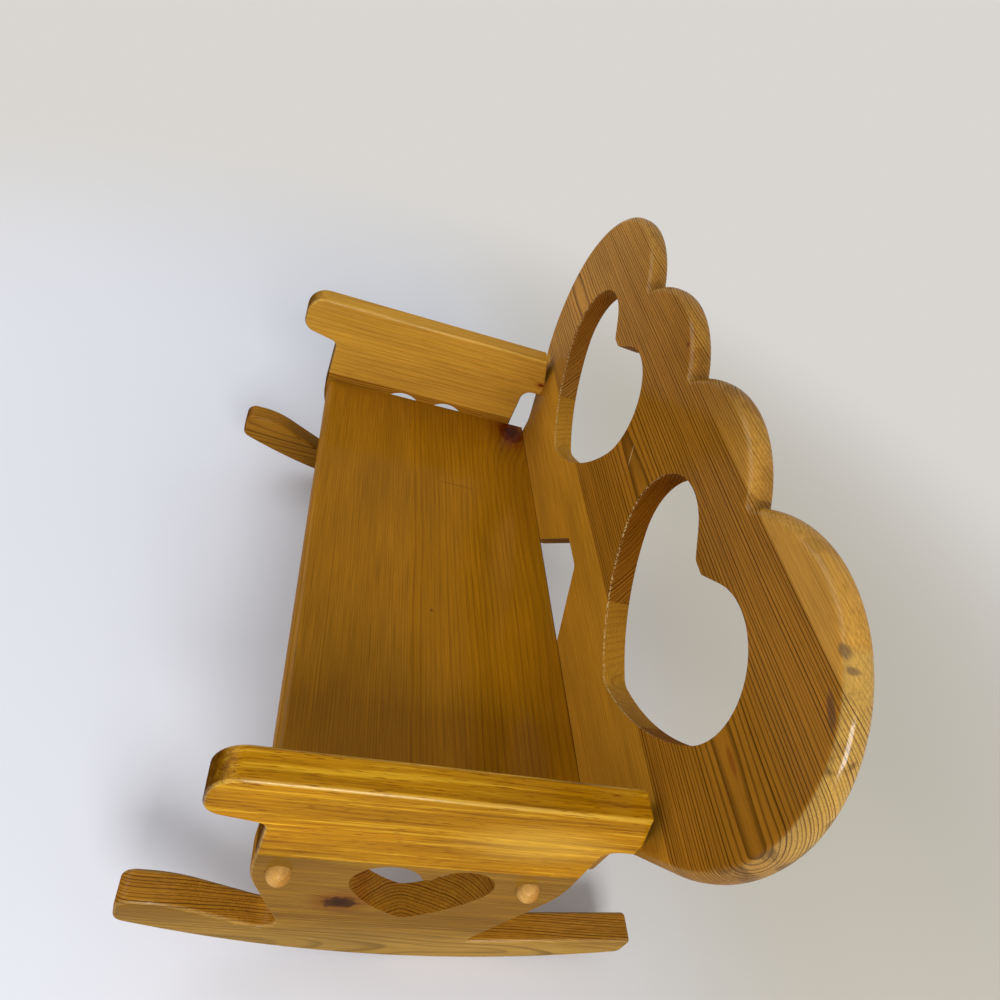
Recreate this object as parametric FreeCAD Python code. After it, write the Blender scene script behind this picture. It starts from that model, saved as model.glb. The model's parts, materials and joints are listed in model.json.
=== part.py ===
import FreeCAD, Part
import math
import os

V = FreeCAD.Vector

# A small rocking bench of pine planks, sizes in millimetres.
# It is drawn square to its seat: X runs along the bench, Y to the rear from the back's front face,
# and Z up from the seat's top. At the end it is tipped to the pose in which it comes to rest.

# Planks
PANEL_BOARD = 22.0  # thickness of the end panels
SEAT_BOARD = 25.0
BACK_BOARD = 19.0
LENGTH = 526.0  # over the outer faces of the two end panels
PANEL_ROUND = 3.0  # rounding run along the end panels' edges
BACK_ROUND = 8.0  # rounding run along the back's outer edges

# Seat, two planks edge to edge between the end panels
SEAT_DEPTH = 219.0
SEAT_FRONT_PLANK = 89.0  # width of the front plank
SEAT_HEIGHT = 141.5  # seat top above the runners' lowest line, square to the seat
SEAT_NOSING = 7.0  # rounding of the seat's front edges

# End panels: arm plank above, rocker plank below
PANEL_LIP = 3.0  # panel's front edge ahead of the seat
ARM_HEIGHT = 89.0  # arm top above the seat
NOSE_DEPTH = 37.0  # height of the arm's nose
NOSE_REACH = 35.0  # nose ahead of the panel's front edge
NOSE_TOP_ROUND = 19.0
NOSE_UNDER_ROUND = 13.0
NECK_DROP = 8.0  # slope of the nose's underside, down to the neck
ARM_END = 43.0  # height of the arm's rear end
ARM_TOUCH = 17.0  # lower part of the arm's end that bears on the back
ARM_TAPER = 9.0  # arm's rear top corner clear of the back
NECK_ROUND = 6.0  # hollow under the nose
STEP_IN = 15.5  # panel's rear edge ahead of the back
STEP_ROUND = 10.0  # hollow under the arm's rear end
PANEL_GLUE_LINE = 8.0  # above the seat
BELLY_DROP = 22.0  # where the front and rear edges start to draw in, below the seat
BELLY_ROUND = 75.0

# Runners
RUNNER_RADIUS = 500.0
RUNNER_LOW = 93.0  # lowest line of the runner, ahead of the back
TOE_REACH = 72.0  # runner's toe ahead of the panel's front edge
TOE_TOP = 72.0  # top of the toe below the seat
TOE_FLAT = 31.0
TOE_ROUND = 9.0
INSTEP_IN = 36.0  # corner of the front hollow, behind the panel's front edge
INSTEP_DROP = 110.0  # and below the seat
INSTEP_ROUND = 9.0
HEEL_REACH = 72.0  # runner's heel behind the back's front face
HEEL_TOP = 92.0  # top of the heel below the seat
HEEL_ROUND = 8.0  # heel's lower corner
VEE_IN = 41.5  # sharp rear hollow, ahead of the panel's rear edge
VEE_DROP = 109.0  # and below the seat
VEE_ROUND = 3.0
ROUND_MARGIN = 0.5  # least by which the heel's upper corner is wider than the edge rounding

# Heart in each end panel
PANEL_HEART_WIDTH = 94.0
PANEL_HEART_HEIGHT = 75.0
PANEL_HEART_POINT = 8.0  # rounding of its tip
PANEL_HEART_TOP = 3.0  # below the glue line
PANEL_HEART_CLEFT = 5.0  # width of the blunt tongue between the lobes
PANEL_HEART_FLARE = 60.0  # degrees its sides fall toward its end
PANEL_HEART_SIDE = 95.0  # radius of the long sides
PANEL_HEART_BACK = 4.5  # its middle behind the panel's middle

# Back, two planks edge to edge
BACK_LEAN = 3.0  # degrees from square to the seat
BACK_OVERHANG = 52.0  # end scallop past the end panel's outer face
BACK_GLUE_LINE = 82.0  # up the face from the seat
WAIST_HEIGHT = 162.0  # where the back is widest
CUSP_HEIGHT = 240.0  # notches between the scallops
CUSP_ROUND = 2.0
SCALLOP_RISE = 27.0  # crown of the two middle scallops above the notches
FLANK_RADIUS = 140.0
FLANK_ANGLE = 36.0  # degrees from upright, below the flank's curve
FOOT_ROUND = 14.0
NOTCH_HEIGHT = 48.0  # centre notch above the seat
NOTCH_TOP = 34.0  # its width at the top
NOTCH_SILL = 123.0  # its width at the seat
NOTCH_ROUND = 10.0

# Hearts in the back
HEART_POST = 72.0  # wood between the two hearts
HEART_RIM = 75.0  # wood between a heart and the back's widest point
HEART_HEIGHT = 149.0
HEART_TIP = 54.0  # tip above the seat
HEART_CLEFT = 13.0  # width of the blunt tongue between the lobes
HEART_FLARE = 34.0  # degrees its sides fall toward its end
HEART_SIDE = 167.0  # radius of the long sides
HEART_POINT = 16.0  # rounding of the tips
LOBE_GAP = 3.0  # between a heart's two lobe circles

# Screws and the button plugs over them
SCREW_THREAD = 4.2
SCREW_HEAD = 8.2
SCREW_LENGTH = 38.0
SCREW_POINT = 6.0
SHANK_CLEARANCE = 0.3  # all round, in the plank that is held
THREAD_CLEARANCE = 0.05  # all round, in the plank that holds
PLUG_TENON = 12.7
PLUG_TENON_LENGTH = 6.0
PLUG_HEAD = 16.0
PLUG_DOME = 8.5
PLUG_CLEARANCE = 0.05  # all round the tenon
PLUG_AIR = 0.3  # between tenon and screw head
FRONT_SCREW_INSET = 14.0  # from the seat's front edge
REAR_SCREW_INSET = 45.0  # from the back
BACK_SCREW_SPACING = 320.0  # between the two screws into the seat's rear edge

ALONG = V(1, 0, 0)
REAR = V(0, 1, 0)
UP = V(0, 0, 1)
LEAN = math.radians(BACK_LEAN)
HALF = LENGTH / 2
INNER = HALF - PANEL_BOARD
PANEL_FRONT = -SEAT_DEPTH - PANEL_LIP
PANEL_REAR = -STEP_IN


def line(start, end):
    return Part.LineSegment(start, end).toShape()


def arc(start, middle, end):
    return Part.Arc(start, middle, end).toShape()


def polyline(points):
    return [line(p, q) for p, q in zip(points, points[1:])]


def polar(centre, radius, degrees, flat):
    """A point on a circle; flat turns the two numbers of the outline into a point in space."""
    turn = math.radians(degrees)
    return flat(centre[0] + radius * math.cos(turn), centre[1] + radius * math.sin(turn))


def plank(edges, thickness):
    return Part.Face(Part.Wire(Part.__sortEdges__(edges))).extrude(thickness)


def round_corners(solid, corners, direction):
    """Round the edge that runs in a direction through each corner point."""
    for point, radius in corners:
        spot = Part.Vertex(point)
        through = [
            edge
            for edge in solid.Edges
            if edge.distToShape(spot)[0] < 1e-6
            and abs(edge.tangentAt(edge.FirstParameter).dot(direction)) > 0.999
        ]
        solid = solid.makeFillet(radius, through)
    return solid


def round_rim(solid, thickness, radius, keep):
    """Round the edges around both broad faces of a plank, where keep says so."""
    depth = thickness.Length
    direction = thickness / depth
    rim = []
    for edge in solid.Edges:
        first, last = edge.ParameterRange
        points = [edge.valueAt(first + (last - first) * share) for share in (0.0, 0.5, 1.0)]
        levels = [point.dot(direction) for point in points]
        in_face = max(levels) - min(levels) < 1e-6
        on_face = min(abs(levels[0]), abs(levels[0] - depth)) < 1e-6
        if in_face and on_face and keep(points[1]):
            rim.append(edge)
    return solid.makeFillet(radius, rim)


def heart(width, height, side, cleft, flare, point, flat, thickness):
    """A heart to cut out: two lobe circles, long arcs to a rounded tip at the origin, blunt tongue."""
    lobe = (width - LOBE_GAP) / 4
    centre = V(width / 2 - lobe, height - lobe, 0)
    reach = centre.Length
    along = (side**2 - (side - lobe) ** 2 + reach**2) / (2 * reach)
    across = math.sqrt(side**2 - along**2)
    ray = centre / reach
    side_centre = ray * along + V(-ray.y, ray.x, 0) * across
    meet = centre + (centre - side_centre).normalize() * lobe
    fall = math.radians(flare)
    leave = centre + V(-math.sin(fall), math.cos(fall), 0) * lobe
    tongue_end = leave.y - (leave.x - cleft / 2) * math.tan(fall)
    middle = side_centre + (meet / 2 - side_centre).normalize() * side
    outline = []
    corners = [(flat(0, 0), point)]
    for hand in (1, -1):
        tip = flat(0, 0)
        join = flat(hand * meet.x, meet.y)
        crown = flat(hand * centre.x, height)
        flank = flat(hand * leave.x, leave.y)
        tongue = flat(hand * cleft / 2, tongue_end)
        outline.append(arc(tip, flat(hand * middle.x, middle.y), join))
        outline.append(arc(join, crown, flank))
        outline.append(line(flank, tongue))
        corners.append((tongue, cleft / 2))
    outline.append(line(flat(cleft / 2, tongue_end), flat(-cleft / 2, tongue_end)))
    return round_corners(plank(outline, thickness), corners, thickness / thickness.Length)


# End panel: nosed arm, waist and runner in one outline, sawn apart along the glue line.
def end_panel():
    def flat(y, z):
        return V(0, y, z)

    def back_face(z):
        return flat(z * math.tan(LEAN), z)

    def runner(y):
        fall = math.sqrt(RUNNER_RADIUS**2 - (y + RUNNER_LOW) ** 2)
        return flat(y, RUNNER_RADIUS - SEAT_HEIGHT - fall)

    nose = PANEL_FRONT - NOSE_REACH
    toe = PANEL_FRONT - TOE_REACH
    nose_low = ARM_HEIGHT - NOSE_DEPTH
    nose_top = flat(nose, ARM_HEIGHT)
    nose_under = flat(nose, nose_low)
    neck = flat(PANEL_FRONT, nose_low - NECK_DROP)
    belly = flat(PANEL_FRONT, -BELLY_DROP)
    instep = flat(PANEL_FRONT + INSTEP_IN, -INSTEP_DROP)
    toe_bend = flat(toe + TOE_FLAT, -TOE_TOP)
    toe_top = flat(toe, -TOE_TOP)
    toe_under = runner(toe)
    heel_under = runner(HEEL_REACH)
    heel_top = flat(HEEL_REACH, -HEEL_TOP)
    vee = flat(PANEL_REAR - VEE_IN, -VEE_DROP)
    rear_belly = flat(PANEL_REAR, -BELLY_DROP)
    step = flat(PANEL_REAR, ARM_HEIGHT - ARM_END)
    end_under = back_face(ARM_HEIGHT - ARM_END)
    end_touch = back_face(ARM_HEIGHT - ARM_END + ARM_TOUCH)
    end_top = back_face(ARM_HEIGHT) - REAR * ARM_TAPER

    front = [nose_top, nose_under, neck, belly, instep, toe_bend, toe_top, toe_under]
    rear = [heel_under, heel_top, vee, rear_belly, step, end_under, end_touch, end_top, nose_top]
    edges = polyline(front) + [arc(toe_under, runner(-RUNNER_LOW), heel_under)] + polyline(rear)
    corners = [
        (nose_top, NOSE_TOP_ROUND),
        (nose_under, NOSE_UNDER_ROUND),
        (neck, NECK_ROUND),
        (belly, BELLY_ROUND),
        (instep, INSTEP_ROUND),
        (toe_bend, BELLY_ROUND),
        (toe_top, TOE_ROUND),
        (toe_under, TOE_ROUND),
        (heel_under, HEEL_ROUND),
        (heel_top, PANEL_ROUND + ROUND_MARGIN),
        (vee, VEE_ROUND),
        (rear_belly, BELLY_ROUND),
        (step, STEP_ROUND),
    ]
    thickness = ALONG * PANEL_BOARD
    panel = round_corners(plank(edges, thickness), corners, ALONG)
    panel = round_rim(panel, thickness, PANEL_ROUND, lambda p: p.y < back_face(p.z).y - 1e-3 or p.z < 0)

    heart_y = (PANEL_FRONT + PANEL_REAR) / 2 + PANEL_HEART_BACK
    heart_tip = PANEL_GLUE_LINE - PANEL_HEART_TOP - PANEL_HEART_HEIGHT
    cut = heart(
        PANEL_HEART_WIDTH,
        PANEL_HEART_HEIGHT,
        PANEL_HEART_SIDE,
        PANEL_HEART_CLEFT,
        PANEL_HEART_FLARE,
        PANEL_HEART_POINT,
        lambda s, t: flat(heart_y + s, heart_tip + t),
        thickness,
    )
    return panel.cut(cut)


# Seat: rounded front edge, rear edge planed to the back's lean.
def seat():
    def flat(y, z):
        return V(-INNER, y, z)

    front_top = flat(-SEAT_DEPTH, 0)
    front_under = flat(-SEAT_DEPTH, -SEAT_BOARD)
    rear_under = flat(-SEAT_BOARD * math.tan(LEAN), -SEAT_BOARD)
    edges = polyline([front_top, front_under, rear_under, flat(0, 0), front_top])
    slab = plank(edges, ALONG * 2 * INNER)
    return round_corners(slab, [(front_top, SEAT_NOSING), (front_under, SEAT_NOSING)], ALONG)


# Back: four scallops above, flanks drawn in to the seat's width, centre notch, two hearts.
def back():
    def flat(x, v):
        return V(x, 0, v)

    under = -SEAT_BOARD / math.cos(LEAN)
    widest = HALF + BACK_OVERHANG
    cusp_x = (HEART_POST / 2 + widest - HEART_RIM) / 2
    heart_width = widest - HEART_RIM - HEART_POST / 2
    lobe_run = widest - cusp_x
    lobe_rise = CUSP_HEIGHT - WAIST_HEIGHT
    lobe = (lobe_run**2 + lobe_rise**2) / (2 * lobe_run)
    lobe_centre = (widest - lobe, WAIST_HEIGHT)
    flank_centre = (widest - FLANK_RADIUS, WAIST_HEIGHT)
    flank_x = flank_centre[0] + FLANK_RADIUS * math.cos(math.radians(FLANK_ANGLE))
    flank_v = flank_centre[1] - FLANK_RADIUS * math.sin(math.radians(FLANK_ANGLE))
    foot_v = flank_v - (flank_x - INNER) / math.tan(math.radians(FLANK_ANGLE))
    slant = (NOTCH_SILL - NOTCH_TOP) / 2 / NOTCH_HEIGHT
    notch_under = NOTCH_SILL / 2 - slant * under

    edges = [line(flat(-NOTCH_TOP / 2, NOTCH_HEIGHT), flat(NOTCH_TOP / 2, NOTCH_HEIGHT))]
    corners = [(flat(0, CUSP_HEIGHT), CUSP_ROUND)]
    for hand in (1, -1):
        side = lambda x, v: flat(hand * x, v)
        notch_top = side(NOTCH_TOP / 2, NOTCH_HEIGHT)
        foot = side(INNER, foot_v)
        flank = side(flank_x, flank_v)
        waist = side(widest, WAIST_HEIGHT)
        cusp = side(cusp_x, CUSP_HEIGHT)
        edges += polyline([notch_top, side(notch_under, under), side(INNER, under), foot, flank])
        edges.append(arc(flank, polar(flank_centre, FLANK_RADIUS, -FLANK_ANGLE / 2, side), waist))
        edges.append(arc(waist, polar(lobe_centre, lobe, 90, side), cusp))
        crown = side(cusp_x / 2, CUSP_HEIGHT + SCALLOP_RISE)
        edges.append(arc(cusp, crown, flat(0, CUSP_HEIGHT)))
        corners += [(notch_top, NOTCH_ROUND), (foot, FOOT_ROUND), (cusp, CUSP_ROUND)]
    thickness = REAR * BACK_BOARD
    panel = round_corners(plank(edges, thickness), corners, REAR)
    panel = round_rim(panel, thickness, BACK_ROUND, lambda p: p.z > NOTCH_HEIGHT + 1e-3)
    for hand in (1, -1):
        cut = heart(
            heart_width,
            HEART_HEIGHT,
            HEART_SIDE,
            HEART_CLEFT,
            HEART_FLARE,
            HEART_POINT,
            lambda s, t: flat(hand * cusp_x + s, HEART_TIP + t),
            thickness,
        )
        panel = panel.cut(cut)
    return panel


# A fastening points along Z: plank's face at zero, dome below it, screw above it into the wood.
HEAD_SEAT = PLUG_TENON_LENGTH + PLUG_AIR
HEAD_CONE = (SCREW_HEAD - SCREW_THREAD) / 2


def spin(points):
    outline = [V(radius, 0, depth) for radius, depth in points]
    face = Part.Face(Part.Wire(polyline(outline + outline[:1])))
    return face.revolve(V(0, 0, 0), UP, 360)


def screw():
    shank = SCREW_THREAD / 2
    tip = HEAD_SEAT + SCREW_LENGTH
    return spin(
        [
            (0, HEAD_SEAT),
            (SCREW_HEAD / 2, HEAD_SEAT),
            (shank, HEAD_SEAT + HEAD_CONE),
            (shank, tip - SCREW_POINT),
            (0, tip),
        ]
    )


def plug():
    tenon = PLUG_TENON / 2
    rim = PLUG_HEAD / 2
    bevel = PLUG_CLEARANCE + PLUG_AIR
    stem = spin(
        [
            (0, 0),
            (tenon, 0),
            (tenon, PLUG_TENON_LENGTH - bevel),
            (tenon - bevel, PLUG_TENON_LENGTH),
            (0, PLUG_TENON_LENGTH),
        ]
    )
    ball = (rim**2 + PLUG_DOME**2) / (2 * PLUG_DOME)
    dome = Part.makeSphere(ball, V(0, 0, ball - PLUG_DOME))
    dome = dome.common(Part.makeCylinder(rim, PLUG_DOME, V(0, 0, -PLUG_DOME)))
    return stem.fuse(dome).removeSplitter()


def holes(board):
    """What a fastening takes out of the board that is held and of the plank that holds it."""
    bore = PLUG_TENON / 2 + PLUG_CLEARANCE
    head = SCREW_HEAD / 2 + SHANK_CLEARANCE
    shank = SCREW_THREAD / 2 + SHANK_CLEARANCE
    thread = SCREW_THREAD / 2 + THREAD_CLEARANCE
    tip = HEAD_SEAT + SCREW_LENGTH
    held = spin(
        [
            (0, 0),
            (bore, 0),
            (bore, HEAD_SEAT),
            (head, HEAD_SEAT),
            (shank, HEAD_SEAT + HEAD_CONE),
            (shank, board),
            (0, board),
        ]
    )
    holding = spin(
        [(0, board), (thread, board), (thread, tip - SCREW_POINT), (0, tip + THREAD_CLEARANCE)]
    )
    return held, holding


def place(shape, origin, direction):
    moved = shape.copy()
    moved.Placement = FreeCAD.Placement(origin, FreeCAD.Rotation(UP, direction))
    return moved


# Assembly, square to the seat
right_panel = end_panel()
right_panel.translate(ALONG * INNER)
left_panel = end_panel()
left_panel.translate(ALONG * -HALF)
seat_slab = seat()
back_panel = back()
lean = FreeCAD.Rotation(ALONG, -BACK_LEAN)
back_panel.Placement = FreeCAD.Placement(V(0, 0, 0), lean)

panel_hole, end_hole = holes(PANEL_BOARD)
back_hole, edge_hole = holes(BACK_BOARD)
fasteners = {}
for side_name, hand in (("left", -1), ("right", 1)):
    for end_name, y in (("front", FRONT_SCREW_INSET - SEAT_DEPTH), ("rear", -REAR_SCREW_INSET)):
        spot = V(hand * HALF, y, -SEAT_BOARD / 2)
        inward = ALONG * -hand
        if hand > 0:
            right_panel = right_panel.cut(place(panel_hole, spot, inward))
        else:
            left_panel = left_panel.cut(place(panel_hole, spot, inward))
        seat_slab = seat_slab.cut(place(end_hole, spot, inward))
        fasteners["side_screw_" + side_name + "_" + end_name] = place(screw(), spot, inward)
        fasteners["side_plug_" + side_name + "_" + end_name] = place(plug(), spot, inward)

    forward = lean.multVec(-REAR)
    arm_touch = (ARM_HEIGHT - ARM_END + ARM_TOUCH / 2) / math.cos(LEAN)
    for target, x, v in (
        ("seat", BACK_SCREW_SPACING / 2, -SEAT_BOARD / 2 / math.cos(LEAN)),
        ("arm", HALF - PANEL_BOARD / 2, arm_touch),
    ):
        spot = lean.multVec(V(hand * x, BACK_BOARD, v))
        back_panel = back_panel.cut(place(back_hole, spot, forward))
        if target == "seat":
            seat_slab = seat_slab.cut(place(edge_hole, spot, forward))
        elif hand > 0:
            right_panel = right_panel.cut(place(edge_hole, spot, forward))
        else:
            left_panel = left_panel.cut(place(edge_hole, spot, forward))
        fasteners["back_screw_" + target + "_" + side_name] = place(screw(), spot, forward)
        fasteners["back_plug_" + target + "_" + side_name] = place(plug(), spot, forward)


# Planks sawn apart along their glue lines
def split(panel, point, normal):
    """The parts of a panel before and beyond a plane."""
    size = 2 * panel.BoundBox.DiagonalLength
    half = Part.makeBox(size, size, size, V(-size / 2, -size / 2, 0))
    beyond = place(half, point, normal)
    return panel.cut(beyond), panel.common(beyond)


parts = {}
for side_name, panel in (("left", left_panel), ("right", right_panel)):
    rocker_plank, arm_plank = split(panel, V(0, 0, PANEL_GLUE_LINE), UP)
    parts["rocker_plank_" + side_name] = rocker_plank
    parts["arm_plank_" + side_name] = arm_plank
seat_front, seat_rear = split(seat_slab, V(0, SEAT_FRONT_PLANK - SEAT_DEPTH, 0), REAR)
parts["seat_plank_front"] = seat_front
parts["seat_plank_rear"] = seat_rear
up_the_back = lean.multVec(UP)
back_lower, back_upper = split(back_panel, up_the_back * BACK_GLUE_LINE, up_the_back)
parts["back_plank_lower"] = back_lower
parts["back_plank_upper"] = back_upper
parts.update(fasteners)

# The bench rests with its weight straight below the centre of the runners' curve.
weight = sum(shape.Volume for shape in parts.values())
balance = V(0, 0, 0)
for shape in parts.values():
    for solid in shape.Solids:
        balance += solid.CenterOfMass * (solid.Volume / weight)
runner_centre = V(0, -RUNNER_LOW, RUNNER_RADIUS - SEAT_HEIGHT)
hang = runner_centre - balance
tilt = math.degrees(math.atan2(-hang.y, hang.z))
print("seat tips back", round(tilt, 2), "degrees at rest; balance", balance)

# Origin under the middle of the bench at floor level
for shape in parts.values():
    shape.rotate(V(0, 0, 0), ALONG, -tilt)
box = Part.makeCompound(list(parts.values())).optimalBoundingBox(False, False)
for shape in parts.values():
    shape.translate(V(-box.Center.x, -box.Center.y, -box.ZMin))

os.makedirs("parts", exist_ok=True)
for name, shape in parts.items():
    shape.exportStep("parts/" + name + ".step")
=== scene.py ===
import json
import math

import bpy
from mathutils import Matrix, Quaternion, Vector


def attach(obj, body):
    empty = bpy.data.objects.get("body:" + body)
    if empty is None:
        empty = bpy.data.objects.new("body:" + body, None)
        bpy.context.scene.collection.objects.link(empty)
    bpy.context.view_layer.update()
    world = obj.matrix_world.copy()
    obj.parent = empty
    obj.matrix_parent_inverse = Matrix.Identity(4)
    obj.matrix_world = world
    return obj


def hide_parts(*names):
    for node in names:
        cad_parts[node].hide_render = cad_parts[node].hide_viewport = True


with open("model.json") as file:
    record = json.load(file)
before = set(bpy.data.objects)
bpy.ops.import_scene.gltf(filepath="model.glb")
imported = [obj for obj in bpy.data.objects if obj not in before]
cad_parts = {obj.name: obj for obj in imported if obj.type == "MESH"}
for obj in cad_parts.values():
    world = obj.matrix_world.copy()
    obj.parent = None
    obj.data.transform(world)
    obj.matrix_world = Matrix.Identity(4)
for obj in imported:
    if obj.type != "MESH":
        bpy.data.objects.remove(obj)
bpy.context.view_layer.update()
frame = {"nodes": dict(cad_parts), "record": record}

# End panels: each is a pine plank sawn to a runner and pierced with a heart, and a nosed arm plank
# glued along its top edge. The grain runs from front to rear, and the long edges are eased and varnished.
seat_mount = frame["record"]["mounts"][0]
up = Vector(seat_mount["axis"]).normalized()
along = Vector((1, 0, 0))
rearward = up.cross(along)
SEAT_REAR_PLANK = 0.130
seat_edge = Vector(seat_mount["pos_m"]) + rearward * SEAT_REAR_PLANK / 2


def linear(colour):
    """An sRGB hex colour as linear RGBA."""
    levels = [int(colour[i : i + 2], 16) / 255 for i in (1, 3, 5)]
    return (*(c / 12.92 if c <= 0.04045 else ((c + 0.055) / 1.055) ** 2.4 for c in levels), 1.0)


def add(tree, kind, inputs=(), **settings):
    """A node with its settings, and its sockets linked or set. A list holds several links to one socket.
    Gives back the node's first live output."""
    node = tree.nodes.new(kind)
    for name, value in settings.items():
        setattr(node, name, value)
    for socket, value in dict(inputs).items():
        for source in value if isinstance(value, list) else [value]:
            if isinstance(source, bpy.types.NodeSocket):
                tree.links.new(source, node.inputs[socket])
            else:
                node.inputs[socket].default_value = source
    return next((output for output in node.outputs if output.enabled), None)


def oval(tree, mm, spot, size, angle=0.0):
    """How far a point lies from the middle of an oval on a plank: 0 in the middle, 1 at its edge."""
    off = add(tree, "ShaderNodeVectorMath", {0: mm, 1: (spot[0], 0, spot[1])}, operation="SUBTRACT")
    turn = {"Vector": off, "Angle": math.radians(angle)}
    off = add(tree, "ShaderNodeVectorRotate", turn, rotation_type="Y_AXIS")
    squeeze = (1 / size[0], 0, 1 / size[1])
    off = add(tree, "ShaderNodeVectorMath", {0: off, 1: squeeze}, operation="MULTIPLY")
    return add(tree, "ShaderNodeVectorMath", {0: off}, operation="LENGTH").node.outputs["Value"]


# Lengths of the patterns in mm: along the grain, through and across
WANDER = (260, 70, 70)
FIBRE = (60, 1.0, 1.0)  # drawn coarser than real fibres, so that it shows
FLECK = (11, 0.8, 0.8)
CLOUD = (170, 40, 40)
STREAK = (120, 4, 4)
# A year's ring, in years
SUMMER = (0.48, 0.9)  # the wood darkens over this part
WINTER = 0.93  # the dark line breaks off from here
UNEVEN = 1.2  # growth runs ahead by up to this much
PACE = 0.37  # swings of that in a year
# Wear, in mm
RIM_WIDTH = 8  # a rubbed rim begins over this width
RIM_HEIGHTS = (110, 180)  # up the back, where the wear grows full
SAP_CLIMB = 24  # the sapwood's border rises by this before it leaves the plank
SAP_FADE = 140  # the sapwood grows pale over this length
SKIN = (9.0, 7.0)  # marks end at this depth
SAW_ANGLE = math.radians(28)
# Colours of streaks, knots and flaws, and of painted seam shade
PALE_STREAK = "#d4a224"
KNOT_RUST = "#d09468"
KNOT_EYE = "#200c04"
# Painted shade in a seam where parts meet
SEAM_SHADE = "#2c1a08"
SAW_TICK = "#dcac44"
BARE_WOOD = "#cfb27a"
# Weight of the varnish
VARNISH = 0.13  # on a sanded face
VARNISH_ON_ENDS = 0.01


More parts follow.
